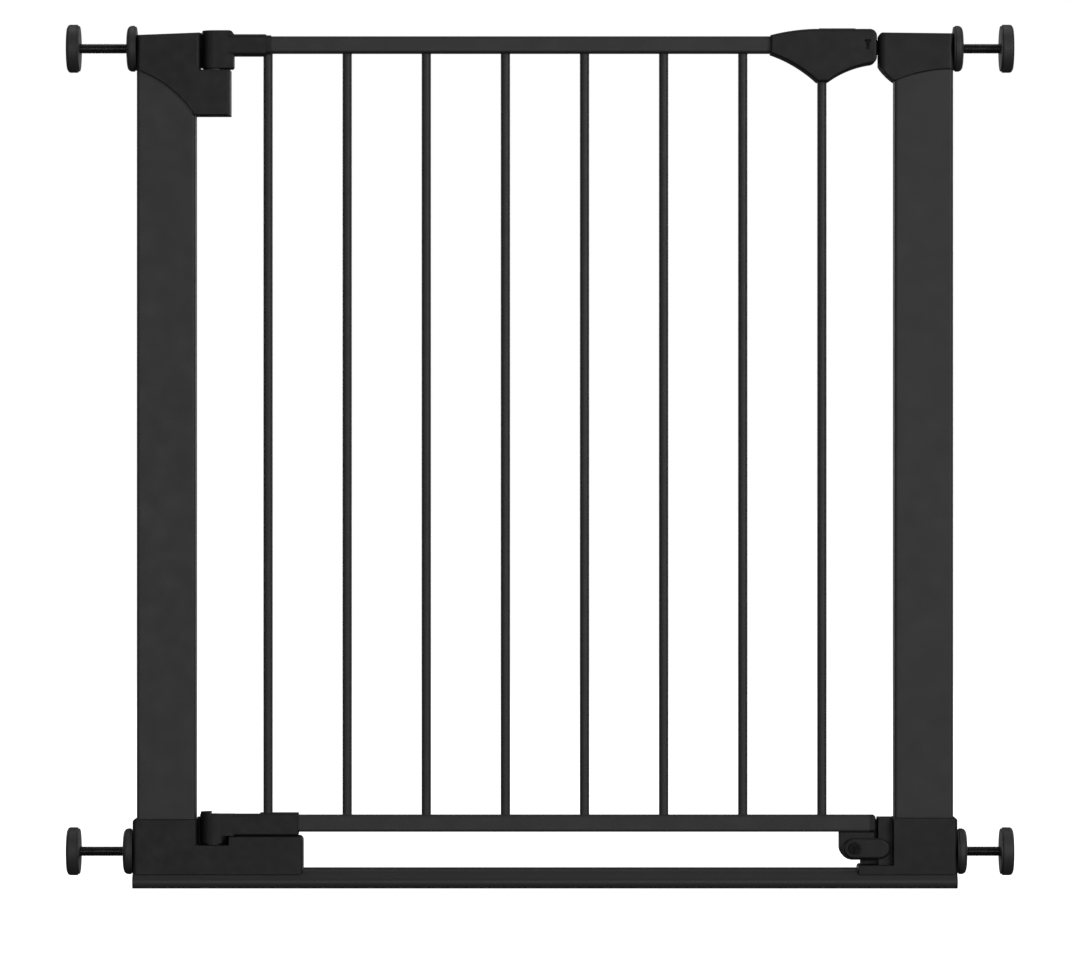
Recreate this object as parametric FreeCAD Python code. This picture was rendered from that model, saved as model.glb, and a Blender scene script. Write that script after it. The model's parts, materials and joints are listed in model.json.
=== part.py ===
import FreeCAD, Part
import math
import os

# Pressure-fit safety gate, in millimetres. X runs across the opening, the front faces -Y and Z is up.
# The origin is the middle of the underside of the threshold bar.

V = FreeCAD.Vector

# Frame
POST_INNER = 296.3
POST_OUTER = 346.3
POST_HALF_DEPTH = 12.0
POST_TOP = 721.0
POST_CORNER = 3.0
TUBE_WALL = 1.5
THRESHOLD_HALF_LENGTH = 349.6
THRESHOLD_TOP = 16.3
THRESHOLD_HALF_DEPTH = 12.3
RIM_HEIGHT = 1.5
RIM_CHAMFER = 0.5
LIP_RADIUS = 5.5
SLOPE_TILT = 45.0
CAP_FLANGE = 1.2
CAP_PLUG = 10.0
UPPER_BRACKET_HALF_DEPTH = 15.0
LOWER_BRACKET_HALF_DEPTH = 16.0
LOWER_BRACKET_FACE = 349.7
LOWER_BRACKET_BOTTOM = 11.2
MOULD_WALL = 2.8
MOULD_EDGE = 1.0
OUTER_UPRIGHT = 4.0
INNER_UPRIGHT = 2.5
POST_SCREWS_X = (309.0, 335.0)
UPPER_SCREW = (705.0, 9.0)
LOWER_SCREW = (44.0, 10.0)
SCREW_RADIUS = 1.6
SCREW_HEAD_RADIUS = 3.4

# Hinge line
HINGE_X = -281.2
SHELF_TOP = 694.2
POCKET_FLOOR = 36.7
PIN_RADIUS = 4.0
PIN_BOSS_RADIUS = 8.0
BUSH_RADIUS = 6.0
FIT_CLEARANCE = 0.08
BUSH_FLANGE_RADIUS = 8.8
BUSH_FLANGE = 0.7
BODY_GAP = 0.3

# Leaf
RAIL_HEIGHT = 14.0
RAIL_HALF_DEPTH = 9.0
RAIL_CORNER = 2.2
TOP_RAIL_BOTTOM = 708.9
BOTTOM_RAIL_BOTTOM = 47.6
TOP_RAIL_ENDS = (-259.0, 244.0)
BOTTOM_RAIL_ENDS = (-262.0, 275.4)
RAIL_CAP_END = 280.6
BAR_COUNT = 8
BAR_PITCH = 67.25
BAR_RADIUS = 4.0
ARM_HALF_DEPTH = 10.8
UPPER_KNUCKLE_RADIUS = 10.3
LOWER_KNUCKLE_RADIUS = 12.0
SLOT_FOR_BAR = 4.1
ARM_SCREW_LENGTH = 5.0
UPPER_ARM_SCREWS_X = (-249.0,)
LOWER_ARM_SCREWS_X = (-251.0, -222.0)

# Handle and latch
HANDLE_HALF_DEPTH = 13.0
HANDLE_TOP = 728.9
HANDLE_NOSE = 281.6
HANDLE_SKIN = 2.4
HANDLE_EDGE = 2.2
HANDLE_SCREWS = ((262.0, 701.0), (214.0, 703.6))
HANDLE_SCREW_SEAT = 2.0
MARK_X = 273.8
MARK_HEAD = (2.7, 717.6, 719.9)
MARK_STEM = (1.5, 711.4)
BOLT = (250.0, 282.8, -5.0, 5.0, 707.0, 719.9)
BOLT_THROW = 9.0
BOLT_PULL = 3.0
TAIL_RADIUS = 2.2
TAIL_START = 226.0
TAIL_Z = 715.0
SEAT = (236.0, 240.0)
SPRING_RADIUS = 3.4
SPRING_WIRE = 0.8
SPRING_TURNS = 6
BOLT_PULL = 3.0
TANG = (252.0, 256.0)
TANG_HALF = 3.0
TANG_DEPTH = 5.0
THUMB = (232.0, 264.0)
THUMB_TOP = 729.7
THUMB_HALF_DEPTH = 6.5
THUMB_FLOOR = 726.9
THUMB_GROOVES = 7

# Stop lever
STOP_X = 261.9
STOP_Z = 33.7
STOP_RADIUS = 8.8
STOP_REACH = 21.8
STOP_FRONT = -14.4
STOP_BACK = -9.4
STOP_EDGE = 2.2
STOP_RECESS_RADIUS = 6.2
STOP_RECESS = 2.4
STOP_HEAD_RADIUS = 4.7
STOP_HEAD_SUNK = 0.7
STOP_SHOULDER_RADIUS = 3.0
STOP_SHANK_RADIUS = 2.0
STOP_SCREW_END = 6.0

# Pressure mounts
SPINDLE_Z = {"upper": 712.8, "lower": 30.7}
MOUNT_FACE = {"upper": 346.6, "lower": 349.7}
DISC_INNER_FACE = {"left": 395.1, "right": 386.8}
SIDE_SIGN = {"left": -1, "right": 1}
SPINDLE_RADIUS = 4.15
SPINDLE_LENGTH = 71.0
SPINDLE_SEAT = 6.0
SPINDLE_FIT = 0.1
GUIDE_RADIUS = 5.5
GUIDE_LENGTH = 17.0
WHEEL_RADIUS = 19.5
WHEEL_WIDTH = 8.0
WHEEL_FLANGE_RADIUS = 18.6
DISC_RADIUS = 20.4
DISC_FLANGE_RADIUS = 19.3
DISC_WIDTH = 10.2
PAD_RADIUS = 18.4
PAD_SEAT = 1.5
PAD_FACE = 10.8


def box(x0, x1, y0, y1, z0, z1):
    return Part.makeBox(x1 - x0, y1 - y0, z1 - z0, V(x0, y0, z0))


def rod_x(radius, x0, x1, y, z):
    return Part.makeCylinder(radius, x1 - x0, V(x0, y, z), V(1, 0, 0))


def rod_y(radius, y0, y1, x, z):
    return Part.makeCylinder(radius, y1 - y0, V(x, y0, z), V(0, 1, 0))


def rod_z(radius, z0, z1, x, y=0.0):
    return Part.makeCylinder(radius, z1 - z0, V(x, y, z0), V(0, 0, 1))


def rounded_wire(corners, place):
    """A closed outline from (a, b, radius) corners; place turns (a, b) into a 3-D point."""
    edges = []
    starts = []
    ends = []
    middles = []
    count = len(corners)
    for i in range(count):
        a, b, radius = corners[i]
        here = V(a, b, 0)
        before = V(*corners[i - 1][:2], 0) - here
        after = V(*corners[(i + 1) % count][:2], 0) - here
        before.normalize()
        after.normalize()
        half = before.getAngle(after) / 2
        reach = radius / math.tan(half)
        bisector = before + after
        bisector.normalize()
        starts.append(here + before * reach)
        ends.append(here + after * reach)
        middles.append(here + bisector * (radius / math.sin(half) - radius))
    for i in range(count):
        if corners[i][2]:
            three = [place(p.x, p.y) for p in (starts[i], middles[i], ends[i])]
            edges.append(Part.Arc(*three).toShape())
        leave = ends[i]
        arrive = starts[(i + 1) % count]
        if (arrive - leave).Length > 1e-6:
            edges.append(Part.makeLine(place(leave.x, leave.y), place(arrive.x, arrive.y)))
    return Part.Wire(edges)


def front(x, z):
    return V(x, 0, z)


def path_wire(start, steps, place=front):
    """A closed outline: each step is an end point, or (middle, end) of an arc."""
    edges = []
    here = start
    for step in steps:
        if isinstance(step[0], tuple):
            middle, end = step
            edges.append(Part.Arc(place(*here), place(*middle), place(*end)).toShape())
        else:
            end = step
            edges.append(Part.makeLine(place(*here), place(*end)))
        here = end
    return Part.Wire(edges)


def on_circle(centre, radius, degrees):
    angle = math.radians(degrees)
    return (centre[0] + radius * math.cos(angle), centre[1] + radius * math.sin(angle))


def plate(wire, y0, y1):
    """An XZ outline made into a plate from y0 to y1."""
    face = Part.Face(wire)
    face.translate(V(0, y0, 0))
    return face.extrude(V(0, y1 - y0, 0))


def soften(shape, radius, wanted):
    """Round the edges that wanted picks out."""
    edges = [e for e in shape.Edges if wanted(e)]
    return shape.makeFillet(radius, edges)


def on_plane_y(*levels):
    """Picks edges that lie wholly in one of the planes y = level."""

    def wanted(edge):
        b = edge.BoundBox
        return b.YLength < 1e-4 and any(abs(b.YMin - level) < 1e-4 for level in levels)

    return wanted


def moulding(wire, half_depth, edge=MOULD_EDGE):
    """A plate centred on Y with its front and back outlines rounded."""
    return soften(plate(wire, -half_depth, half_depth), edge, on_plane_y(-half_depth, half_depth))


def round_uprights(shape, x, inward, half_depth, radius, bottom, top):
    """Round the front and back upright edges at x; inward is the side, -1 or 1, that the material is on."""
    centre_x = x + inward * radius
    for side in (-1, 1):
        centre_y = side * (half_depth - radius)
        xs = sorted((x - inward, centre_x))
        ys = sorted((centre_y, side * (half_depth + 1)))
        corner = box(*xs, *ys, bottom, top)
        shape = shape.cut(corner.cut(rod_z(radius, bottom, top, centre_x, centre_y)))
    return shape


def mirror_x(shape):
    return shape.mirror(V(0, 0, 0), V(1, 0, 0))


def on_side(shape, side):
    """A right-hand shape, or its mirror image for the left side."""
    return shape if side == "right" else mirror_x(shape)


def rounded_bar_x(x0, x1, half_depth, z0, z1, corner):
    h = half_depth
    corners = [(-h, z0, corner), (h, z0, corner), (h, z1, corner), (-h, z1, corner)]
    wire = rounded_wire(corners, lambda a, b: V(x0, a, b))
    return Part.Face(wire).extrude(V(x1 - x0, 0, 0))


def rounded_post(x0, x1, half_depth, z0, z1, corner):
    h = half_depth
    corners = [(x0, -h, corner), (x1, -h, corner), (x1, h, corner), (x0, h, corner)]
    wire = rounded_wire(corners, lambda a, b: V(a, b, z0))
    return Part.Face(wire).extrude(V(0, 0, z1 - z0))


def tube_x(x0, x1, half_depth, z0, z1, corner):
    outer = rounded_bar_x(x0, x1, half_depth, z0, z1, corner)
    w = TUBE_WALL
    inner = rounded_bar_x(x0, x1, half_depth - w, z0 + w, z1 - w, corner - w)
    return outer.cut(inner)


def spin_x(points, x0, sign, z):
    """Turn a closed (distance outward, radius) outline about the X line at height z."""
    wire = Part.makePolygon([V(t, 0, r) for t, r in points + points[:1]])
    solid = Part.Face(wire).revolve(V(0, 0, 0), V(1, 0, 0), 360)
    if sign < 0:
        solid = solid.mirror(V(0, 0, 0), V(1, 0, 0))
    solid.translate(V(sign * x0, 0, z))
    return Part.Solid(solid.Shells[0]) if solid.ShapeType != "Solid" else solid


def cross_recess(x, z, face, inward, arm, half_width, depth):
    """The two crossing slots of a screw's drive, cut from the face in the direction inward along Y."""
    ys = sorted((face, face + inward * depth))
    slots = [box(x - dx, x + dx, *ys, z - dz, z + dz) for dx, dz in ((arm, half_width), (half_width, arm))]
    return slots[0].fuse(slots[1])


def pan_screw(x, z, face, length, head=1.8):
    """A pan-head screw driven in from the back, along -Y."""
    shape = rod_y(SCREW_HEAD_RADIUS, face, face + head, x, z)
    shape = soften(shape, 0.8, on_plane_y(face + head))
    shape = shape.fuse(rod_y(SCREW_RADIUS, face - length, face, x, z))
    return shape.cut(cross_recess(x, z, face + head, -1, 1.9, 0.4, 1.0))


def drill(shape, places, face, length):
    """Holes from a back face, as wide as the screws' shanks."""
    for x, z in places:
        shape = shape.cut(rod_y(SCREW_RADIUS, face - length, face, x, z))
    return shape


def post_screw_places(z):
    return [(side * x, z) for side in (-1, 1) for x in POST_SCREWS_X]


def drill_upper(shape):
    z, length = UPPER_SCREW
    return drill(shape, post_screw_places(z), UPPER_BRACKET_HALF_DEPTH, length)


def drill_lower(shape):
    z, length = LOWER_SCREW
    return drill(shape, post_screw_places(z), LOWER_BRACKET_HALF_DEPTH, length)


# ---- Frame ----


def threshold_solid(x0, x1, inset=0.0):
    """The threshold's section: a flat top, a low rim, and slopes down to round lips; inset shrinks it."""
    tilt = math.radians(SLOPE_TILT)
    slope_top = THRESHOLD_TOP - RIM_HEIGHT
    slope_run = (slope_top - LIP_RADIUS * (1 + math.sin(tilt))) * math.tan(tilt)
    centre = (THRESHOLD_HALF_DEPTH + slope_run - LIP_RADIUS * math.cos(tilt), LIP_RADIUS)
    lip = LIP_RADIUS - inset
    wall = THRESHOLD_HALF_DEPTH - inset
    top = THRESHOLD_TOP - inset
    rim_bottom = slope_top - inset * (1 - math.cos(tilt)) / math.sin(tilt)
    wire = path_wire(
        (0, inset),
        [
            (centre[0], inset),
            (on_circle(centre, lip, (SLOPE_TILT - 90) / 2), on_circle(centre, lip, SLOPE_TILT)),
            (wall, rim_bottom),
            (wall, top - RIM_CHAMFER),
            (wall - RIM_CHAMFER, top),
            (0, top),
            (0, inset),
        ],
        lambda y, z: V(x0, y, z),
    )
    half = Part.Face(wire).extrude(V(x1 - x0, 0, 0))
    return half.fuse(half.mirror(V(0, 0, 0), V(0, 1, 0))).removeSplitter()


def threshold_end():
    return THRESHOLD_HALF_LENGTH - CAP_FLANGE


def threshold_bar():
    end = threshold_end()
    return threshold_solid(-end, end).cut(threshold_solid(-end, end, TUBE_WALL))


def threshold_end_caps():
    end = threshold_end()
    flange = threshold_solid(end, THRESHOLD_HALF_LENGTH)
    plug = threshold_solid(end - CAP_PLUG, end, TUBE_WALL)
    right = flange.fuse(plug).removeSplitter()
    return Part.makeCompound([right, mirror_x(right)])


def post(side):
    w = TUBE_WALL
    outer = rounded_post(POST_INNER, POST_OUTER, POST_HALF_DEPTH, THRESHOLD_TOP, POST_TOP, POST_CORNER)
    inner = rounded_post(
        POST_INNER + w, POST_OUTER - w, POST_HALF_DEPTH - w, THRESHOLD_TOP, POST_TOP, POST_CORNER - w
    )
    shape = outer.cut(inner)
    for z in SPINDLE_Z.values():
        shape = shape.cut(rod_x(GUIDE_RADIUS, POST_OUTER - 2 * w, POST_OUTER + w, 0, z))
    return drill_lower(drill_upper(on_side(shape, side)))


def upper_post_room(side):
    """The space that an upper bracket leaves for the post, open at the post's outer side."""
    room = box(POST_INNER, POST_OUTER + 1, -POST_HALF_DEPTH, POST_HALF_DEPTH, 600, POST_TOP)
    return on_side(room, side)


def lower_post_room(side):
    room = box(POST_INNER, POST_OUTER, -POST_HALF_DEPTH, POST_HALF_DEPTH, THRESHOLD_TOP, 100)
    return on_side(room, side)


def guide_hole(side):
    hole = rod_x(GUIDE_RADIUS, POST_OUTER - 1, LOWER_BRACKET_FACE + 1, 0, SPINDLE_Z["lower"])
    return on_side(hole, side)


def upper_hinge_bracket():
    wall_x, shelf_end, leg_bottom = -292.7, -267.0, 655.6
    top_left, top_right = 723.5, 725.6
    edge_top = (-POST_OUTER, 694.0)
    edge_middle = (-318.2, 678.6)
    leg_left = (-POST_INNER - 0.7, leg_bottom)
    wire = path_wire(
        (-POST_OUTER, top_left),
        [
            (wall_x, top_right),
            (wall_x, SHELF_TOP),
            (shelf_end, SHELF_TOP),
            (shelf_end, leg_bottom),
            leg_left,
            (edge_middle, edge_top),
            (-POST_OUTER, top_left),
        ],
    )
    y = UPPER_BRACKET_HALF_DEPTH
    shape = moulding(wire, y)
    shape = round_uprights(shape, -POST_OUTER, 1, y, OUTER_UPRIGHT, leg_bottom, POST_TOP + 20)
    shape = round_uprights(shape, wall_x, -1, y, INNER_UPRIGHT, SHELF_TOP, POST_TOP + 20)
    shape = round_uprights(shape, shelf_end, -1, y, INNER_UPRIGHT, leg_bottom - 1, SHELF_TOP + 1)
    shape = shape.cut(upper_post_room("left"))
    hollow_half = y - MOULD_WALL
    hollow_x = (-POST_INNER + MOULD_WALL, shelf_end - MOULD_WALL)
    hollow = box(*hollow_x, -hollow_half, hollow_half, 600, SHELF_TOP - 6)
    boss = rod_z(PIN_BOSS_RADIUS, leg_bottom, SHELF_TOP, HINGE_X)
    shape = shape.cut(hollow.cut(boss))
    wall_front, wall_top = UPPER_KNUCKLE_RADIUS + 0.7, top_right + 1.6
    back_wall = box(wall_x - 3, -284.0, wall_front, y - 0.6, SHELF_TOP + 3, wall_top)
    shape = shape.fuse(back_wall)
    shape = shape.cut(rod_z(PIN_RADIUS, leg_bottom + 8, SHELF_TOP + 1, HINGE_X))
    return drill_upper(shape.removeSplitter())


def upper_latch_housing():
    left, right = 283.1, MOUNT_FACE["upper"]
    top_left, top_right, corner = 725.6, 724.9, 3.5
    side_bottom = (left, 697.8)
    post_meet = (POST_INNER, 684.4)
    bend = corner * (1 - math.sqrt(0.5))
    wire = path_wire(
        (left, top_left - corner),
        [
            ((left + bend, top_left - bend), (left + corner, top_left)),
            (right, top_right),
            (right, 694.6),
            ((320.0, 691.9), post_meet),
            ((288.9, 690.8), side_bottom),
            (left, top_left - corner),
        ],
    )
    y = UPPER_BRACKET_HALF_DEPTH
    shape = moulding(wire, y)
    shape = round_uprights(shape, left, 1, y, 6.0, 600, 800)
    shape = round_uprights(shape, right, -1, y, OUTER_UPRIGHT, 600, 800)
    shape = shape.cut(upper_post_room("right"))
    x0, x1, y0, y1, z0, z1 = BOLT
    slack = 0.6
    pocket_end = x1 + BOLT_THROW + 1.2
    shape = shape.cut(box(left - 1, pocket_end, y0 - slack, y1 + slack, z0 - slack, z1 + slack))
    return drill_upper(shape)


def lower_hinge_bracket():
    top, foot_top, foot_end = 58.8, 43.9, -205.5
    wall_x, pocket_end = -295.3, -268.3
    wire = rounded_wire(
        [
            (-LOWER_BRACKET_FACE, LOWER_BRACKET_BOTTOM, 1.2),
            (-LOWER_BRACKET_FACE, top, 3.0),
            (wall_x, top, 1.2),
            (wall_x, POCKET_FLOOR, 1.2),
            (pocket_end, POCKET_FLOOR, 1.2),
            (pocket_end, foot_top, 1.2),
            (foot_end, foot_top, 4.0),
            (foot_end, LOWER_BRACKET_BOTTOM, 1.2),
        ],
        front,
    )
    y = LOWER_BRACKET_HALF_DEPTH
    shape = moulding(wire, y)
    shape = round_uprights(shape, -LOWER_BRACKET_FACE, 1, y, OUTER_UPRIGHT, 0, 100)
    shape = round_uprights(shape, wall_x, -1, y, INNER_UPRIGHT, POCKET_FLOOR, 100)
    shape = round_uprights(shape, foot_end, -1, y, INNER_UPRIGHT, 0, 100)
    wall_front = LOWER_KNUCKLE_RADIUS + 0.5
    back_wall = box(wall_x - 0.8, pocket_end + 3, wall_front, y - 0.6, POCKET_FLOOR - 4, top + 0.6)
    shape = shape.fuse(back_wall)
    shape = shape.cut(threshold_solid(-400, 400)).cut(lower_post_room("left")).cut(guide_hole("left"))
    inner = y - MOULD_WALL
    hollow_bottom = THRESHOLD_TOP - 1
    under_pocket = box(-POST_INNER + 4, pocket_end, -inner, inner, hollow_bottom, POCKET_FLOOR - MOULD_WALL)
    under_foot = box(pocket_end, foot_end - MOULD_WALL, -inner, inner, hollow_bottom, foot_top - MOULD_WALL)
    boss = rod_z(PIN_BOSS_RADIUS, THRESHOLD_TOP, POCKET_FLOOR, HINGE_X)
    shape = shape.cut(under_pocket.fuse(under_foot).cut(boss))
    shape = shape.cut(rod_z(PIN_RADIUS, THRESHOLD_TOP + 3, POCKET_FLOOR + 1, HINGE_X))
    return drill_lower(shape.removeSplitter())


def lower_catch_bracket():
    top, foot_top, lip_top, wall_top = 60.0, 19.7, 23.2, 59.5
    body_x, groove_x, wall_x, foot_x, lip_x = 295.3, 292.6, 282.4, 265.5, 268.5
    overlap = 3.0
    y = LOWER_BRACKET_HALF_DEPTH
    body = rounded_wire(
        [
            (body_x, LOWER_BRACKET_BOTTOM, 1.2),
            (LOWER_BRACKET_FACE, LOWER_BRACKET_BOTTOM, 1.2),
            (LOWER_BRACKET_FACE, top, 3.0),
            (body_x, top, 1.6),
        ],
        front,
    )
    foot = rounded_wire(
        [
            (foot_x, LOWER_BRACKET_BOTTOM, 1.2),
            (body_x + overlap, LOWER_BRACKET_BOTTOM, 1.2),
            (body_x + overlap, foot_top, 1.2),
            (foot_x, foot_top, 2.5),
        ],
        front,
    )
    body = round_uprights(moulding(body, y), LOWER_BRACKET_FACE, -1, y, OUTER_UPRIGHT, 0, 100)
    wall_front = STOP_BACK + 0.8
    wall = box(wall_x, body_x + overlap, wall_front, y - 0.6, foot_top - overlap, wall_top)
    wall = soften(wall, 1.0, lambda e: e.BoundBox.XMax < wall_x + 1e-3 and e.BoundBox.ZLength > 5)
    wall = wall.cut(box(groove_x, body_x, wall_front - 1, 0, foot_top, top))
    lip = box(lip_x, wall_x + overlap, 5.0, y - 0.6, foot_top - overlap, lip_top)
    back_wall = box(277.6, wall_x + overlap, RAIL_HALF_DEPTH + 0.6, y - 0.6, foot_top - overlap, wall_top - 2)
    shape = body.fuse(moulding(foot, y)).fuse(wall).fuse(lip).fuse(back_wall)
    shape = shape.cut(threshold_solid(-400, 400)).cut(lower_post_room("right")).cut(guide_hole("right"))
    return drill_lower(shape.removeSplitter())


def hinge_pin(bottom, top):
    pin = rod_z(PIN_RADIUS, bottom, top, HINGE_X)
    rim = [e for e in pin.Edges if abs(e.BoundBox.ZMin - top) < 1e-4 and e.BoundBox.ZLength < 1e-4]
    return pin.makeChamfer(1.2, rim)


def frame_screws():
    upper_z, upper_length = UPPER_SCREW
    lower_z, lower_length = LOWER_SCREW
    screws = [pan_screw(x, z, UPPER_BRACKET_HALF_DEPTH, upper_length) for x, z in post_screw_places(upper_z)]
    screws += [pan_screw(x, z, LOWER_BRACKET_HALF_DEPTH, lower_length) for x, z in post_screw_places(lower_z)]
    return Part.makeCompound(screws)


def spindle_guides():
    guides = []
    for side in SIDE_SIGN:
        for level, z in SPINDLE_Z.items():
            outer = POST_OUTER if level == "upper" else LOWER_BRACKET_FACE
            inner = outer - GUIDE_LENGTH
            guide = rod_x(GUIDE_RADIUS, inner, outer, 0, z)
            guide = guide.cut(rod_x(SPINDLE_RADIUS + SPINDLE_FIT, inner, outer, 0, z))
            guides.append(on_side(guide, side))
    return Part.makeCompound(guides)


# ---- Hinge bushes and leaf ----


def hinge_bush(seat, top):
    """A flanged bush: it turns in the knuckle and slides on the pin."""
    flange_bottom = seat + BODY_GAP
    shape = rod_z(BUSH_FLANGE_RADIUS, flange_bottom, flange_bottom + BUSH_FLANGE, HINGE_X)
    shape = shape.fuse(rod_z(BUSH_RADIUS, flange_bottom, top, HINGE_X))
    shape = shape.cut(rod_z(PIN_RADIUS + FIT_CLEARANCE, flange_bottom, top, HINGE_X))
    return shape.removeSplitter()


def rail(ends, bottom):
    return tube_x(ends[0], ends[1], RAIL_HALF_DEPTH, bottom, bottom + RAIL_HEIGHT, RAIL_CORNER)


def rail_room(ends, bottom):
    return rounded_bar_x(ends[0], ends[1], RAIL_HALF_DEPTH, bottom, bottom + RAIL_HEIGHT, RAIL_CORNER)


def bar_x(number):
    return (number - (BAR_COUNT + 1) / 2) * BAR_PITCH


def bar(number):
    return rod_z(BAR_RADIUS, BOTTOM_RAIL_BOTTOM + RAIL_HEIGHT, TOP_RAIL_BOTTOM, bar_x(number))


def sleeve(x0, x1, half_depth, z0, z1, corner=3.0):
    shape = rounded_bar_x(x0, x1, half_depth, z0, z1, corner)
    return soften(shape, 0.8, lambda e: e.BoundBox.XMin > x1 - 1e-3)


def arm_screw_places(xs, rail_bottom):
    return [(x, rail_bottom + RAIL_HEIGHT / 2) for x in xs]


def drill_upper_arm(shape):
    places = arm_screw_places(UPPER_ARM_SCREWS_X, TOP_RAIL_BOTTOM)
    return drill(shape, places, ARM_HALF_DEPTH, ARM_SCREW_LENGTH)


def drill_lower_arm(shape):
    places = arm_screw_places(LOWER_ARM_SCREWS_X, BOTTOM_RAIL_BOTTOM)
    return drill(shape, places, ARM_HALF_DEPTH, ARM_SCREW_LENGTH)


def hinge_arm_screws():
    places = arm_screw_places(UPPER_ARM_SCREWS_X, TOP_RAIL_BOTTOM)
    places += arm_screw_places(LOWER_ARM_SCREWS_X, BOTTOM_RAIL_BOTTOM)
    return Part.makeCompound([pan_screw(x, z, ARM_HALF_DEPTH, ARM_SCREW_LENGTH, 1.4) for x, z in places])


def upper_hinge_arm():
    bottom, top, block_end = 695.5, 727.9, -264.2
    sleeve_end, step_end = -236.6, -232.2
    block = rounded_wire(
        [(HINGE_X, bottom, 0), (block_end, bottom, 2.0), (block_end, top, 4.0), (HINGE_X, top, 0)], front
    )
    barrel = rod_z(UPPER_KNUCKLE_RADIUS, bottom, top, HINGE_X)
    shape = barrel.fuse(plate(block, -UPPER_KNUCKLE_RADIUS, UPPER_KNUCKLE_RADIUS)).removeSplitter()
    shape = soften(shape, 0.8, lambda e: e.BoundBox.ZMin > top - 1e-3)
    shape = shape.fuse(sleeve(block_end - 4, sleeve_end, ARM_HALF_DEPTH, 706.6, 724.6))
    shape = shape.fuse(sleeve(sleeve_end - 1, step_end, ARM_HALF_DEPTH - 0.9, 707.9, 723.7, 2.6))
    shape = shape.cut(rail_room((TOP_RAIL_ENDS[0], 0), TOP_RAIL_BOTTOM))
    shape = shape.cut(rod_z(SLOT_FOR_BAR, 700, TOP_RAIL_BOTTOM, bar_x(1)))
    shape = shape.cut(rod_z(BUSH_RADIUS + FIT_CLEARANCE, bottom - 1, 722.0, HINGE_X))
    return drill_upper_arm(shape.removeSplitter())


def lower_hinge_arm():
    bottom, arm_bottom, top, step_top, lug_top = 38.0, 44.4, 62.3, 63.4, 64.4
    block_end, step_x, sleeve_end = -264.0, -242.0, -209.4
    lug_x = (-292.4, -283.8)
    barrel = rod_z(LOWER_KNUCKLE_RADIUS, bottom, lug_top, HINGE_X)
    barrel = barrel.cut(box(lug_x[1], block_end, -20, 20, top, lug_top + 1))
    barrel = barrel.cut(box(HINGE_X - 20, lug_x[0], -20, 20, top, lug_top + 1))
    shape = barrel.fuse(box(HINGE_X, block_end, -ARM_HALF_DEPTH, ARM_HALF_DEPTH, arm_bottom, top))
    shape = shape.fuse(sleeve(block_end - 2, step_x + 2, ARM_HALF_DEPTH, arm_bottom, top, 2.0))
    shape = shape.fuse(sleeve(step_x, sleeve_end, ARM_HALF_DEPTH, arm_bottom, step_top, 2.0))
    shape = shape.cut(rail_room((BOTTOM_RAIL_ENDS[0], 0), BOTTOM_RAIL_BOTTOM))
    shape = shape.cut(rod_z(SLOT_FOR_BAR, BOTTOM_RAIL_BOTTOM + RAIL_HEIGHT, 70, bar_x(1)))
    shape = shape.cut(rod_z(BUSH_RADIUS + FIT_CLEARANCE, bottom - 1, 58.0, HINGE_X))
    return drill_lower_arm(shape.removeSplitter())


def bottom_rail_cap():
    start, end = BOTTOM_RAIL_ENDS[1], RAIL_CAP_END
    w = TUBE_WALL
    z0, z1 = BOTTOM_RAIL_BOTTOM, BOTTOM_RAIL_BOTTOM + RAIL_HEIGHT
    flange = rounded_bar_x(start, end, RAIL_HALF_DEPTH, z0, z1, RAIL_CORNER)
    flange = soften(flange, 1.8, lambda e: e.BoundBox.XMin > end - 1e-3)
    plug = rounded_bar_x(start - CAP_PLUG, start, RAIL_HALF_DEPTH - w, z0 + w, z1 - w, RAIL_CORNER - w)
    return flange.fuse(plug).removeSplitter()


def catch_block():
    left, right, bottom = 249.8, 279.8, 23.9
    wire = rounded_wire(
        [
            (left, bottom, 11.0),
            (right, bottom, 2.0),
            (right, BOTTOM_RAIL_BOTTOM, 0),
            (left, BOTTOM_RAIL_BOTTOM, 0),
        ],
        front,
    )
    shape = moulding(wire, RAIL_HALF_DEPTH)
    shape = shape.fuse(rod_y(STOP_RADIUS - 1.2, STOP_BACK + BODY_GAP, 0, STOP_X, STOP_Z))
    shape = shape.cut(rod_y(STOP_SHANK_RADIUS, -20, STOP_SCREW_END, STOP_X, STOP_Z))
    return shape.cut(rod_y(STOP_SHOULDER_RADIUS, -20, -RAIL_HALF_DEPTH, STOP_X, STOP_Z))


def stop_lever():
    tip = STOP_X + STOP_REACH
    top, bottom = STOP_Z + STOP_RADIUS, STOP_Z - STOP_RADIUS
    wire = path_wire(
        (STOP_X, top),
        [
            (tip, top),
            ((tip + STOP_RADIUS, STOP_Z), (tip, bottom)),
            (STOP_X, bottom),
            ((STOP_X - STOP_RADIUS, STOP_Z), (STOP_X, top)),
        ],
    )
    shape = soften(plate(wire, STOP_FRONT, STOP_BACK), STOP_EDGE, on_plane_y(STOP_FRONT))
    shape = shape.cut(rod_y(STOP_SHOULDER_RADIUS + FIT_CLEARANCE, -20, 0, STOP_X, STOP_Z))
    return shape.cut(rod_y(STOP_RECESS_RADIUS, STOP_FRONT - 1, STOP_FRONT + STOP_RECESS, STOP_X, STOP_Z))


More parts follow.
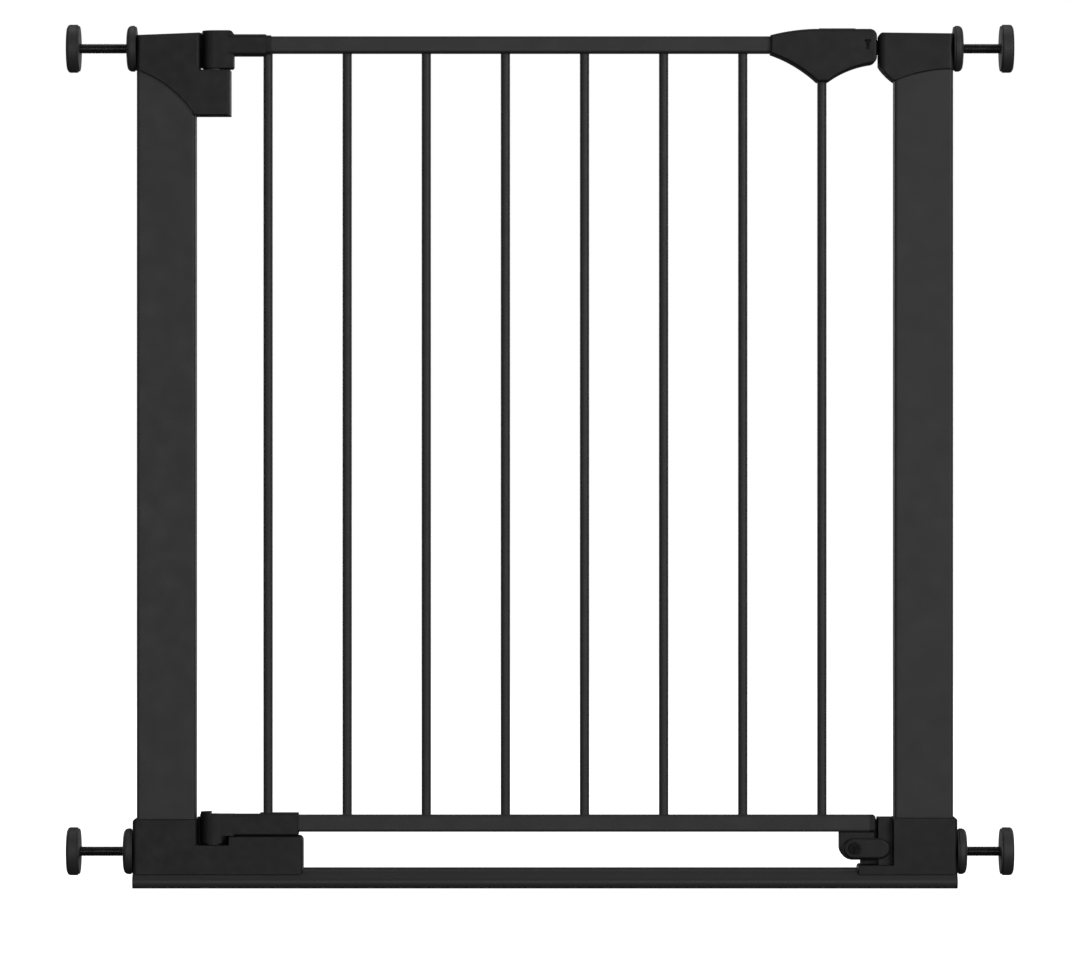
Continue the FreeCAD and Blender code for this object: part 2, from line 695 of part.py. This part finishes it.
def stop_screw():
    head_front = STOP_FRONT + STOP_HEAD_SUNK
    head_back = STOP_FRONT + STOP_RECESS - FIT_CLEARANCE
    shape = rod_y(STOP_HEAD_RADIUS, head_front, head_back, STOP_X, STOP_Z)
    shape = soften(shape, 0.7, on_plane_y(head_front))
    shape = shape.fuse(rod_y(STOP_SHOULDER_RADIUS, head_back, -RAIL_HALF_DEPTH, STOP_X, STOP_Z))
    shape = shape.fuse(rod_y(STOP_SHANK_RADIUS, -RAIL_HALF_DEPTH, STOP_SCREW_END, STOP_X, STOP_Z))
    return shape.cut(cross_recess(STOP_X, STOP_Z, head_front, 1, 2.6, 0.55, 1.1))


# ---- Handle ----


def handle_wire():
    top_corner = 6.0
    bend = top_corner * (1 - math.sqrt(0.5))
    neck = (191.3, 723.6)
    return path_wire(
        neck,
        [
            ((208.3, 727.1), (228.0, HANDLE_TOP)),
            (HANDLE_NOSE - top_corner, HANDLE_TOP),
            ((HANDLE_NOSE - bend, HANDLE_TOP - bend), (HANDLE_NOSE, HANDLE_TOP - top_corner)),
            (HANDLE_NOSE, 704.8),
            ((280.0, 701.2), (276.3, 699.3)),
            ((258.0, 694.3), (241.5, 685.2)),
            (240.0, 684.2),
            (230.9, 684.2),
            ((212.6, 698.0), (191.3, 708.0)),
            neck,
        ],
    )


def handle_whole():
    """Both shells as one, hollow, with ribs, screw posts and the ways for bolt, tang and thumb slide."""
    outer = moulding(handle_wire(), HANDLE_HALF_DEPTH, HANDLE_EDGE)
    inner_half = HANDLE_HALF_DEPTH - HANDLE_SKIN
    cavity = plate(handle_wire().makeOffset2D(-HANDLE_SKIN), -inner_half, inner_half)
    cavity = cavity.common(box(150, 300, -20, 20, 600, THUMB_FLOOR - HANDLE_SKIN))
    x0, x1, y0, y1, z0, z1 = BOLT
    slack = BODY_GAP
    for rib_x in (267.0, 276.0):
        cavity = cavity.cut(box(rib_x, rib_x + 2, -20, 20, 600, 800))
    for x, z in HANDLE_SCREWS:
        cavity = cavity.cut(rod_y(3.6, -20, 20, x, z))
    shape = outer.cut(cavity)
    shape = shape.cut(box(244.0, 290, y0 - slack, y1 + slack, z0 - slack, z1 + slack))
    shape = shape.cut(rail_room((180, TOP_RAIL_ENDS[1]), TOP_RAIL_BOTTOM))
    shape = shape.cut(rod_z(BAR_RADIUS, 600, TOP_RAIL_BOTTOM, bar_x(BAR_COUNT)))
    track_half = THUMB_HALF_DEPTH + 0.4
    tang_half = TANG_HALF + 0.4
    pull, throw = BOLT_PULL + 0.5, BOLT_THROW + 0.5
    track = box(THUMB[0] - pull, THUMB[1] + throw, -track_half, track_half, THUMB_FLOOR, 740)
    tang_track = box(TANG[0] - pull, TANG[1] + throw, -tang_half, tang_half, z1, 740)
    return shape.cut(track).cut(tang_track)


def handle_front_shell(whole):
    shape = whole.common(box(150, 300, -30, 0, 600, 800))
    head_half, head_bottom, head_top = MARK_HEAD
    stem_half, stem_bottom = MARK_STEM
    inside = -HANDLE_HALF_DEPTH + HANDLE_SKIN + 0.5
    shape = shape.cut(box(MARK_X - head_half, MARK_X + head_half, -30, inside, head_bottom, head_top))
    shape = shape.cut(box(MARK_X - stem_half, MARK_X + stem_half, -30, inside, stem_bottom, head_bottom))
    for x, z in HANDLE_SCREWS:
        shape = shape.cut(rod_y(SCREW_RADIUS, -7.0, 0, x, z))
    return shape


def handle_back_shell(whole):
    shape = whole.common(box(150, 300, 0, 30, 600, 800))
    seat = HANDLE_HALF_DEPTH - HANDLE_SCREW_SEAT
    for x, z in HANDLE_SCREWS:
        shape = shape.cut(rod_y(SCREW_RADIUS, 0, 30, x, z)).cut(rod_y(SCREW_HEAD_RADIUS, seat, 30, x, z))
    return shape


def handle_screws():
    seat = HANDLE_HALF_DEPTH - HANDLE_SCREW_SEAT
    return Part.makeCompound([pan_screw(x, z, seat, seat + 7.0) for x, z in HANDLE_SCREWS])


def latch_bolt():
    nose, top = BOLT[1], BOLT[5]
    body = box(*BOLT)
    body = body.makeChamfer(0.9, [e for e in body.Edges if e.BoundBox.XMin > nose - 1e-3])
    body = body.cut(box(*TANG, -TANG_HALF, TANG_HALF, top - TANG_DEPTH, top + 1))
    return body.fuse(rod_x(TAIL_RADIUS, TAIL_START, BOLT[0], 0, TAIL_Z)).removeSplitter()


def thumb_slide():
    plate_bottom = THUMB_FLOOR + BODY_GAP
    wire = rounded_wire(
        [
            (THUMB[0], plate_bottom, 0),
            (THUMB[1], plate_bottom, 0),
            (THUMB[1], THUMB_TOP, 1.2),
            (THUMB[0], THUMB_TOP, 1.2),
        ],
        front,
    )
    shape = plate(wire, -THUMB_HALF_DEPTH, THUMB_HALF_DEPTH)
    groove_half = THUMB_HALF_DEPTH - 1.2
    for i in range(THUMB_GROOVES):
        x = THUMB[0] + 6.0 + 3.3 * i
        shape = shape.cut(box(x, x + 1.3, -groove_half, groove_half, THUMB_TOP - 0.7, THUMB_TOP))
    tang = box(*TANG, -TANG_HALF, TANG_HALF, BOLT[5] - TANG_DEPTH, plate_bottom + 0.5)
    return shape.fuse(tang).removeSplitter()


def spring_seat():
    w = TUBE_WALL
    bottom = TOP_RAIL_BOTTOM + w
    top = TOP_RAIL_BOTTOM + RAIL_HEIGHT - w
    seat = rounded_bar_x(SEAT[0], SEAT[1], RAIL_HALF_DEPTH - w, bottom, top, RAIL_CORNER - w)
    return seat.cut(rod_x(TAIL_RADIUS + FIT_CLEARANCE, SEAT[0], SEAT[1], 0, TAIL_Z))


def latch_spring():
    """A compression spring round the bolt's tail, as short as with the bolt pulled fully back."""
    gap = 0.1
    length = BOLT[0] - BOLT_PULL - SEAT[1] - SPRING_WIRE - 2 * gap
    helix = Part.makeHelix(length / SPRING_TURNS, length, SPRING_RADIUS)
    start = helix.Edges[0].Vertexes[0].Point
    tangent = helix.Edges[0].tangentAt(helix.Edges[0].FirstParameter)
    wire = Part.Wire([Part.makeCircle(SPRING_WIRE / 2, start, tangent)])
    coil = Part.Wire(helix.Edges).makePipeShell([wire], True, True)
    coil.rotate(V(0, 0, 0), V(0, 1, 0), 90)
    coil.translate(V(SEAT[1] + SPRING_WIRE / 2 + gap, 0, TAIL_Z))
    return Part.Solid(coil.Shells[0]) if coil.ShapeType != "Solid" else coil


# ---- Pressure mounts ----


def spindle(side, level):
    outer = DISC_INNER_FACE[side] + SPINDLE_SEAT
    shape = rod_x(SPINDLE_RADIUS, outer - SPINDLE_LENGTH, outer, 0, SPINDLE_Z[level])
    shape = shape.makeChamfer(0.8, [e for e in shape.Edges if e.BoundBox.XLength < 1e-3])
    return on_side(shape, side)


def end_disc(side, level):
    w, r, flange = DISC_WIDTH, DISC_RADIUS, DISC_FLANGE_RADIUS
    outline = [(0.0, 0.0), (0.0, flange - 0.6), (0.3, flange), (1.4, flange), (1.6, r - 0.5), (2.1, r)]
    outline += [(w - 1.9, r), (w - 0.7, r - 0.5), (w, r - 1.3), (w, PAD_RADIUS)]
    outline += [(w - PAD_SEAT, PAD_RADIUS), (w - PAD_SEAT, 0.0)]
    face = DISC_INNER_FACE[side]
    shape = spin_x(outline, face, SIDE_SIGN[side], SPINDLE_Z[level])
    hole = rod_x(SPINDLE_RADIUS, face - 1, face + SPINDLE_SEAT, 0, SPINDLE_Z[level])
    return shape.cut(on_side(hole, side))


def wall_pad(side, level):
    seat = DISC_WIDTH - PAD_SEAT
    outline = [(seat, 0.0), (seat, PAD_RADIUS), (PAD_FACE - 0.4, PAD_RADIUS), (PAD_FACE, PAD_RADIUS - 0.5)]
    for groove in (14.0, 10.0, 6.0):
        outline += [(PAD_FACE, groove + 0.5), (PAD_FACE - 0.6, groove + 0.2)]
        outline += [(PAD_FACE - 0.6, groove - 0.2), (PAD_FACE, groove - 0.5)]
    outline += [(PAD_FACE, 0.0)]
    return spin_x(outline, DISC_INNER_FACE[side], SIDE_SIGN[side], SPINDLE_Z[level])


def adjuster_wheel(side, level):
    """A smooth hand wheel: a thin flange at the post, a rounded outer edge and a dished outer face."""
    bore = SPINDLE_RADIUS + SPINDLE_FIT
    w, r, flange = WHEEL_WIDTH, WHEEL_RADIUS, WHEEL_FLANGE_RADIUS
    dish = (w - 1.8, 14.0, 7.8)
    outline = [(0.0, bore), (0.0, flange - 0.4), (0.3, flange), (1.2, flange), (1.4, r - 0.4), (1.9, r)]
    outline += [(w - 3.8, r), (w - 2.2, r - 0.5), (w - 1.0, r - 1.5), (w - 0.3, r - 2.9), (w, r - 4.4)]
    outline += [(w, dish[1] + 0.6), (dish[0], dish[1]), (dish[0], dish[2]), (w, dish[2] - 0.6), (w, bore)]
    return spin_x(outline, MOUNT_FACE[level] + BODY_GAP, SIDE_SIGN[side], SPINDLE_Z[level])


def all_parts():
    """Every node's shape by its name."""
    handle = handle_whole()
    parts = {
        "threshold_bar": threshold_bar(),
        "threshold_end_caps": threshold_end_caps(),
        "left_post": post("left"),
        "right_post": post("right"),
        "upper_hinge_bracket": upper_hinge_bracket(),
        "upper_latch_housing": upper_latch_housing(),
        "lower_hinge_bracket": lower_hinge_bracket(),
        "lower_catch_bracket": lower_catch_bracket(),
        "upper_hinge_pin": hinge_pin(663.6, 716.0),
        "lower_hinge_pin": hinge_pin(THRESHOLD_TOP + 3, 54.0),
        "frame_screws": frame_screws(),
        "spindle_guides": spindle_guides(),
        "upper_hinge_bush": hinge_bush(SHELF_TOP, 720.0),
        "lower_hinge_bush": hinge_bush(POCKET_FLOOR, 57.0),
        "top_rail": drill_upper_arm(rail(TOP_RAIL_ENDS, TOP_RAIL_BOTTOM)),
        "bottom_rail": drill_lower_arm(rail(BOTTOM_RAIL_ENDS, BOTTOM_RAIL_BOTTOM)),
        "upper_hinge_arm": upper_hinge_arm(),
        "lower_hinge_arm": lower_hinge_arm(),
        "hinge_arm_screws": hinge_arm_screws(),
        "bottom_rail_cap": bottom_rail_cap(),
        "catch_block": catch_block(),
        "stop_lever": stop_lever(),
        "stop_screw": stop_screw(),
        "handle_front_shell": handle_front_shell(handle),
        "handle_back_shell": handle_back_shell(handle),
        "handle_screws": handle_screws(),
        "thumb_slide": thumb_slide(),
        "latch_bolt": latch_bolt(),
        "latch_spring": latch_spring(),
        "spring_seat": spring_seat(),
    }
    for number in range(1, BAR_COUNT + 1):
        parts[f"bar_{number}"] = bar(number)
    for side in SIDE_SIGN:
        for level in SPINDLE_Z:
            corner = f"{level}_{side}"
            parts[f"{corner}_spindle"] = spindle(side, level)
            parts[f"{corner}_end_disc"] = end_disc(side, level)
            parts[f"{corner}_wall_pad"] = wall_pad(side, level)
            parts[f"{corner}_adjuster_wheel"] = adjuster_wheel(side, level)
    return parts


def main():
    os.makedirs("parts", exist_ok=True)
    for name, shape in all_parts().items():
        solids = len(shape.Solids)
        print(f"{name}: {solids} solid(s), {shape.Volume / 1000:.2f} cm3, valid {shape.isValid()}")
        shape.exportStep(f"parts/{name}.step")


main()
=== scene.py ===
import json
import math

import bmesh
import bpy
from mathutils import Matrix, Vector, noise


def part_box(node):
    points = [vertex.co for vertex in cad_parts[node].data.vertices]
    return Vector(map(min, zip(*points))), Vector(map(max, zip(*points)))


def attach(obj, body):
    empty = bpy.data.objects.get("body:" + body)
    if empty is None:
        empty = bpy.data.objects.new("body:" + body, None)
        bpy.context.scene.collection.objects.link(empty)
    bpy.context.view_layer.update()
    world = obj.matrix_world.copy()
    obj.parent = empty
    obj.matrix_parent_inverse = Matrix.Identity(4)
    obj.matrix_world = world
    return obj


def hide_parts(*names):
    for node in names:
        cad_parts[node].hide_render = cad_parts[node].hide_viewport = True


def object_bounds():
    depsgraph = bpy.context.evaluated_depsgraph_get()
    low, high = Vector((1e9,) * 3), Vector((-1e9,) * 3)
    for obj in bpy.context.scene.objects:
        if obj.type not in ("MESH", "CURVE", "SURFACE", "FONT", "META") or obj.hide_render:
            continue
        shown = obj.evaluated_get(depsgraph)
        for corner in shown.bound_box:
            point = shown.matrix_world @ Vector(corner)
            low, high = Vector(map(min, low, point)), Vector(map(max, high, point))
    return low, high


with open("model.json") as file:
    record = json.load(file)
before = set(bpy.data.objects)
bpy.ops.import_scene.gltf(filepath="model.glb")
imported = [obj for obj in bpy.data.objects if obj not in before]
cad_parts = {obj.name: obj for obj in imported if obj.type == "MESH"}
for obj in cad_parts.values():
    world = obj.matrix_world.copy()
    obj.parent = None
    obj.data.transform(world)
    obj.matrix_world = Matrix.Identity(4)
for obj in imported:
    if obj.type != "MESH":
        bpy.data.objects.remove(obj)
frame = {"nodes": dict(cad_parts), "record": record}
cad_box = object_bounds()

# Safety gate: materials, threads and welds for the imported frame, and the stage around it.
# Metres, with +X to the latch side, -Y to the front and +Z up.

CAMERA_DISTANCE = 4.8
CAMERA_LENS = 188.4
CAMERA_SENSOR = 36.0
CAMERA_REACH = 200.0
VIEW_DROP = 0.0212
VIEW_LEFT = 0.0005

ROOM_LIGHT = 0.05
FLOOR_HALF = 60.0
FLOOR_GAP = 0.0003

# Textures give their useful values between these two shares.
TEXTURE_LOW = 0.3
TEXTURE_HIGH = 0.7
SHARP_ANGLE = 35.0

# Rolled thread of the spindles. The crest and root are shares of the pitch.
THREAD_PITCH = 0.00125
THREAD_DEPTH = 0.00035
THREAD_CREST = 0.14
THREAD_ROOT = 0.22
THREAD_STEPS = 40
MERGE_DISTANCE = 1e-7

# Weld fillets. The sink keeps the bead's inner edge just inside the bar.
BARS = 8
WELD_WIDTH = 0.0012
WELD_HEIGHT = 0.0011
WELD_SINK = 0.0001
WELD_UNEVENNESS = 0.22
WELD_RIPPLES = 3.0
WELD_SHIFT_X = 90.0
WELD_SHIFT_Z = 7.0
WELD_STEPS = 28
WELD_ROWS = 5

SLOT_OF = {entry["node"]: entry["material_slot"] for entry in frame["record"]["subparts"]}
TURNED_PIECES = ("_end_disc", "_adjuster_wheel")
LEVELS = ("upper", "lower")
SIDES = ("left", "right")


# ---- Materials ----


class Shader:
    """A Principled material with short calls for the texture nodes it uses."""

    def __init__(self, name, color, roughness, metallic=0.0, specular=0.5):
        self.material = bpy.data.materials.new(name)
        self.material.use_nodes = True
        self.tree = self.material.node_tree
        self.surface = self.tree.nodes["Principled BSDF"]
        self.surface.inputs["Base Color"].default_value = (*color, 1)
        self.surface.inputs["Roughness"].default_value = roughness
        self.surface.inputs["Metallic"].default_value = metallic
        self.surface.inputs["Specular IOR Level"].default_value = specular
        self.place = self.tree.nodes.new("ShaderNodeTexCoord").outputs["Object"]
        self.relief = None

    def link(self, output, socket):
        self.tree.links.new(output, socket)

    def stretched(self, scale):
        """Object coordinates scaled by a vector, for drawn lines."""
        mapping = self.tree.nodes.new("ShaderNodeMapping")
        mapping.inputs["Scale"].default_value = scale
        self.link(self.place, mapping.inputs["Vector"])
        return mapping.outputs["Vector"]

    def noise(self, scale, detail, place=None):
        node = self.tree.nodes.new("ShaderNodeTexNoise")
        node.inputs["Scale"].default_value = scale
        node.inputs["Detail"].default_value = detail
        self.link(place or self.place, node.inputs["Vector"])
        return node.outputs["Fac"]

    def cells(self, scale):
        node = self.tree.nodes.new("ShaderNodeTexVoronoi")
        node.inputs["Scale"].default_value = scale
        self.link(self.place, node.inputs["Vector"])
        return node.outputs["Distance"]

    def tint(self, texture, dark, light):
        """Colours the surface from dark to light."""
        node = self.tree.nodes.new("ShaderNodeValToRGB")
        first, last = node.color_ramp.elements
        first.position = TEXTURE_LOW
        first.color = (*dark, 1)
        last.position = TEXTURE_HIGH
        last.color = (*light, 1)
        self.link(texture, node.inputs["Fac"])
        self.link(node.outputs["Color"], self.surface.inputs["Base Color"])

    def gloss(self, texture, low, high):
        """Varies the roughness from low to high."""
        node = self.tree.nodes.new("ShaderNodeMapRange")
        node.inputs["From Min"].default_value = TEXTURE_LOW
        node.inputs["From Max"].default_value = TEXTURE_HIGH
        node.inputs["To Min"].default_value = low
        node.inputs["To Max"].default_value = high
        self.link(texture, node.inputs["Value"])
        self.link(node.outputs["Result"], self.surface.inputs["Roughness"])

    def bump(self, texture, depth):
        """Adds one layer of relief; depth is in metres."""
        node = self.tree.nodes.new("ShaderNodeBump")
        node.inputs["Strength"].default_value = 1.0
        node.inputs["Distance"].default_value = depth
        self.link(texture, node.inputs["Height"])
        if self.relief:
            self.link(self.relief, node.inputs["Normal"])
        self.relief = node.outputs["Normal"]
        self.link(self.relief, self.surface.inputs["Normal"])


def powder_coat():
    """Satin black powder coat: fine orange peel, faint cloudiness, and dust-fine grain."""
    s = Shader("powder_coated_steel", (0.036, 0.036, 0.0366), 0.50, specular=0.28)
    s.tint(s.noise(9, 3), (0.0352, 0.0352, 0.0358), (0.0368, 0.0368, 0.0374))
    s.gloss(s.noise(60, 4), 0.44, 0.52)
    s.bump(s.noise(420, 2), 0.00006)
    s.bump(s.noise(1900, 2), 0.000016)
    return s.material


def grained_plastic():
    """Black polypropylene with a spark-eroded mould grain."""
    s = Shader("black_plastic", (0.0120, 0.0120, 0.0124), 0.5, specular=0.28)
    s.tint(s.noise(14, 3), (0.0115, 0.0115, 0.0119), (0.0125, 0.0125, 0.0129))
    s.gloss(s.noise(110, 3), 0.46, 0.56)
    s.bump(s.cells(1500), 0.00003)
    s.bump(s.noise(700, 3), 0.00003)
    return s.material


def smooth_acetal():
    """Smooth black acetal of the bushes, the guides and the spring seat."""
    s = Shader("black_acetal", (0.014, 0.014, 0.0145), 0.38)
    s.tint(s.noise(40, 2), (0.012, 0.012, 0.0125), (0.017, 0.017, 0.0175))
    s.gloss(s.noise(180, 2), 0.34, 0.44)
    s.bump(s.noise(600, 2), 0.00001)
    return s.material


def turned_plastic():
    """Smooth black plastic of the wheels and the end discs, a little paler than the mouldings."""
    s = Shader("turned_black_plastic", (0.023, 0.023, 0.0235), 0.62, specular=0.6)
    s.tint(s.noise(60, 3), (0.021, 0.021, 0.0215), (0.025, 0.025, 0.0255))
    s.gloss(s.noise(240, 3), 0.58, 0.66)
    s.bump(s.noise(700, 3), 0.00002)
    return s.material


def black_zinc(name, roughness, specular, metallic):
    """Black plated steel, with uneven plating and light rubbing."""
    s = Shader(name, (0.012, 0.012, 0.0125), roughness, metallic, specular)
    s.tint(s.noise(220, 4), (0.008, 0.008, 0.0085), (0.016, 0.016, 0.0165))
    s.gloss(s.noise(500, 3), roughness - 0.06, roughness + 0.08)
    s.bump(s.noise(1500, 2), 0.00001)
    return s.material


def bright_steel(name, stretch):
    """Zinc-plated steel with fine drawn lines along its length."""
    s = Shader(name, (0.52, 0.52, 0.53), 0.3, metallic=1.0)
    lines = s.noise(60, 4, s.stretched(stretch))
    s.tint(lines, (0.44, 0.44, 0.45), (0.60, 0.60, 0.61))
    s.gloss(lines, 0.24, 0.38)
    s.bump(lines, 0.00001)
    return s.material


def pad_rubber():
    """Dull black rubber, dusty in places."""
    s = Shader("wall_pad_rubber", (0.022, 0.022, 0.022), 0.82, specular=0.35)
    s.tint(s.noise(35, 4), (0.018, 0.018, 0.018), (0.030, 0.030, 0.0295))
    s.gloss(s.noise(260, 3), 0.74, 0.9)
    s.bump(s.noise(900, 4), 0.00005)
    return s.material


def weld_steel():
    """The coated weld bead: like the powder coat, a little darker and more uneven."""
    s = Shader("coated_weld", (0.028, 0.028, 0.029), 0.45)
    s.tint(s.noise(300, 3), (0.022, 0.022, 0.023), (0.034, 0.034, 0.035))
    s.gloss(s.noise(600, 3), 0.4, 0.5)
    s.bump(s.noise(800, 3), 0.00008)
    return s.material


def floor_paint():
    """A floor that glows white, so that it meets the backdrop without an edge."""
    s = Shader("pale_floor", (0.86, 0.86, 0.86), 0.7)
    s.tint(s.noise(3, 2), (0.855, 0.855, 0.855), (0.865, 0.865, 0.865))
    s.surface.inputs["Emission Color"].default_value = (1, 1, 1, 1)
    s.surface.inputs["Emission Strength"].default_value = 1.0
    return s.material


def make_materials():
    """One material for each material slot of the frame."""
    return {
        "powder_coated_steel": powder_coat(),
        "black_plastic": grained_plastic(),
        "black_acetal": smooth_acetal(),
        "blackened_spindle_steel": black_zinc("blackened_spindle_steel", 0.36, 0.8, 0.4),
        "blackened_screw_steel": black_zinc("blackened_screw_steel", 0.5, 0.08, 0.1),
        "bright_pin_steel": bright_steel("bright_pin_steel", (20, 20, 1)),
        "spring_steel": bright_steel("spring_steel", (1, 12, 12)),
        "wall_pad_rubber": pad_rubber(),
    }


def paint(piece, material):
    piece.data.materials.clear()
    piece.data.materials.append(material)


def shade(piece):
    """Smooth shading that keeps real edges sharp."""
    for polygon in piece.data.polygons:
        polygon.use_smooth = True
    piece.data.set_sharp_from_angle(angle=math.radians(SHARP_ANGLE))


# ---- Pieces ----


def add_piece(name, mesh, body, material):
    piece = bpy.data.objects.new(name, mesh)
    bpy.context.scene.collection.objects.link(piece)
    paint(piece, material)
    shade(piece)
    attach(piece, body)
    return piece


def thread_corners():
    """One pitch of the thread as (share of the pitch, depth below the crest): crest, slope and root.

    The slope back up to the crest ends at the next turn's first corner.
    """
    slope = (1 - THREAD_CREST - THREAD_ROOT) / 2
    root_start = THREAD_CREST + slope
    root_middle = root_start + THREAD_ROOT / 2
    root_end = root_start + THREAD_ROOT
    crest = [(share, 0.0) for share in (0.0, THREAD_CREST)]
    root = [(share, THREAD_DEPTH) for share in (root_start, root_middle, root_end)]
    return crest + root


def threaded_spindle(corner, material):
    """The spindle with its rolled thread: rings of points that follow the helix along X."""
    node = f"{corner}_spindle"
    low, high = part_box(node)
    crest_radius = (high.z - low.z) / 2
    centre_z = (high.z + low.z) / 2
    turns = math.ceil((high.x - low.x) / THREAD_PITCH) + 1
    mesh = bpy.data.meshes.new(f"{corner}_threads")
    work = bmesh.new()
    rings = []
    for turn in range(-1, turns):
        for share, depth in thread_corners():
            radius = crest_radius - depth
            ring = []
            for step in range(THREAD_STEPS + 1):
                angle = 2 * math.pi * step / THREAD_STEPS
                along = (turn + share + step / THREAD_STEPS) * THREAD_PITCH
                x = min(max(low.x + along, low.x), high.x)
                point = (x, radius * math.cos(angle), centre_z + radius * math.sin(angle))
                ring.append(work.verts.new(point))
            rings.append(ring)
    for lower, upper in zip(rings, rings[1:]):
        for step in range(THREAD_STEPS):
            work.faces.new((lower[step], lower[step + 1], upper[step + 1], upper[step]))
    bmesh.ops.remove_doubles(work, verts=work.verts, dist=MERGE_DISTANCE)
    bmesh.ops.dissolve_degenerate(work, edges=work.edges, dist=MERGE_DISTANCE)
    bmesh.ops.holes_fill(work, edges=[edge for edge in work.edges if edge.is_boundary])
    bmesh.ops.recalc_face_normals(work, faces=work.faces)
    work.to_mesh(mesh)
    work.free()
    piece = add_piece(f"{corner}_threaded_spindle", mesh, f"{corner}_foot", material)
    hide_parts(node)


def weld_ring(work, x, z, up, bar_radius):
    """A small concave fillet where a bar meets a rail; up is +1 above the rail and -1 below it."""
    grid = []
    for row in range(WELD_ROWS):
        bend = math.pi / 2 * row / (WELD_ROWS - 1)
        ring = []
        for step in range(WELD_STEPS):
            angle = 2 * math.pi * step / WELD_STEPS
            along = WELD_RIPPLES * math.cos(angle)
            across = WELD_RIPPLES * math.sin(angle)
            ripple = noise.noise(Vector((x * WELD_SHIFT_X + along, across, z * WELD_SHIFT_Z)))
            swell = 1 + WELD_UNEVENNESS * ripple
            out = bar_radius + WELD_WIDTH * swell * (1 - math.sin(bend))
            rise = WELD_HEIGHT * swell * (1 - math.cos(bend))
            point = (x + out * math.cos(angle), out * math.sin(angle), z + up * rise)
            ring.append(work.verts.new(point))
        grid.append(ring)
    for lower, upper in zip(grid, grid[1:]):
        for step in range(WELD_STEPS):
            after = (step + 1) % WELD_STEPS
            work.faces.new((lower[step], lower[after], upper[after], upper[step]))


def bar_welds(material):
    """The weld fillets at the bars' ends, except where the hinge arms and the handle hide them."""
    mesh = bpy.data.meshes.new("bar_welds")
    work = bmesh.new()
    for number in range(1, BARS + 1):
        low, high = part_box(f"bar_{number}")
        x = (low.x + high.x) / 2
        radius = (high.x - low.x) / 2 - WELD_SINK
        if number > 1:
            weld_ring(work, x, low.z, 1, radius)
        if 1 < number < BARS:
            weld_ring(work, x, high.z, -1, radius)
    bmesh.ops.recalc_face_normals(work, faces=work.faces)
    work.to_mesh(mesh)
    work.free()
    add_piece("bar_welds", mesh, "leaf", material)


# ---- Stage ----


def make_floor():
    """A pale floor, wide enough to reach the horizon, that throws no light on the gate."""
    mesh = bpy.data.meshes.new("floor")
    work = bmesh.new()
    bmesh.ops.create_grid(work, x_segments=4, y_segments=4, size=FLOOR_HALF)
    work.to_mesh(mesh)
    work.free()
    floor = bpy.data.objects.new("floor", mesh)
    bpy.context.scene.collection.objects.link(floor)
    floor.location.z = cad_box[0].z - FLOOR_GAP
    paint(floor, floor_paint())
    floor.visible_glossy = False
    floor.visible_diffuse = False


def soft_light(name, place, size, power):
    """A rectangular light aimed at the gate's middle; size in metres, power in watts."""
    data = bpy.data.lights.new(name, "AREA")
    data.shape = "RECTANGLE"
    data.size, data.size_y = size
    data.energy = power
    light = bpy.data.objects.new(name, data)
    bpy.context.scene.collection.objects.link(light)
    light.location = place
    aim = (cad_box[0] + cad_box[1]) / 2 - Vector(place)
    light.rotation_euler = aim.to_track_quat("-Z", "Y").to_euler()
    light.visible_camera = False


def make_lights():
    soft_light("key", (2.6, -3.0, 1.2), (1.2, 2.0), 60)
    soft_light("front", (-0.2, -5.6, 0.4), (2.4, 1.4), 62)
    soft_light("fill", (-2.8, -3.0, 0.4), (1.0, 1.4), 14)
    soft_light("top", (0.0, 0.3, 2.6), (2.8, 1.4), 18)
    soft_light("back_left", (-2.8, 4.0, 0.9), (1.6, 1.6), 34)
    soft_light("back_right", (2.8, 4.0, 0.9), (1.6, 1.6), 34)


def make_world():
    """A white backdrop for the camera; the object itself sees a dim grey room."""
    world = bpy.data.worlds.new("studio")
    bpy.context.scene.world = world
    world.use_nodes = True
    tree = world.node_tree
    room = tree.nodes["Background"]
    room.inputs["Color"].default_value = (1, 1, 1, 1)
    room.inputs["Strength"].default_value = ROOM_LIGHT
    backdrop = tree.nodes.new("ShaderNodeBackground")
    backdrop.inputs["Color"].default_value = (1, 1, 1, 1)
    backdrop.inputs["Strength"].default_value = 1.0
    path = tree.nodes.new("ShaderNodeLightPath")
    mix = tree.nodes.new("ShaderNodeMixShader")
    tree.links.new(path.outputs["Is Camera Ray"], mix.inputs["Fac"])
    tree.links.new(room.outputs["Background"], mix.inputs[1])
    tree.links.new(backdrop.outputs["Background"], mix.inputs[2])
    tree.links.new(mix.outputs["Shader"], tree.nodes["World Output"].inputs["Surface"])


def make_camera():
    """A long lens straight from the front, a little below mid-height."""
    data = bpy.data.cameras.new("front_camera")
    data.lens = CAMERA_LENS
    data.sensor_width = CAMERA_SENSOR
    data.clip_end = CAMERA_REACH
    camera = bpy.data.objects.new("front_camera", data)
    bpy.context.scene.collection.objects.link(camera)
    centre = (cad_box[0] + cad_box[1]) / 2
    camera.location = (centre.x - VIEW_LEFT, -CAMERA_DISTANCE, centre.z - VIEW_DROP)
    camera.rotation_euler = (math.radians(90), 0, 0)
    bpy.context.scene.camera = camera


def main():
    make_camera()
    make_world()
    make_lights()
    make_floor()
    bpy.context.scene.view_settings.view_transform = "Standard"
    materials = make_materials()
    turned = turned_plastic()
    for name, node in frame["nodes"].items():
        is_turned = name.endswith(TURNED_PIECES)
        paint(node, turned if is_turned else materials[SLOT_OF[name]])
        shade(node)
    for level in LEVELS:
        for side in SIDES:
            threaded_spindle(f"{level}_{side}", materials["blackened_spindle_steel"])
    bar_welds(weld_steel())


main()
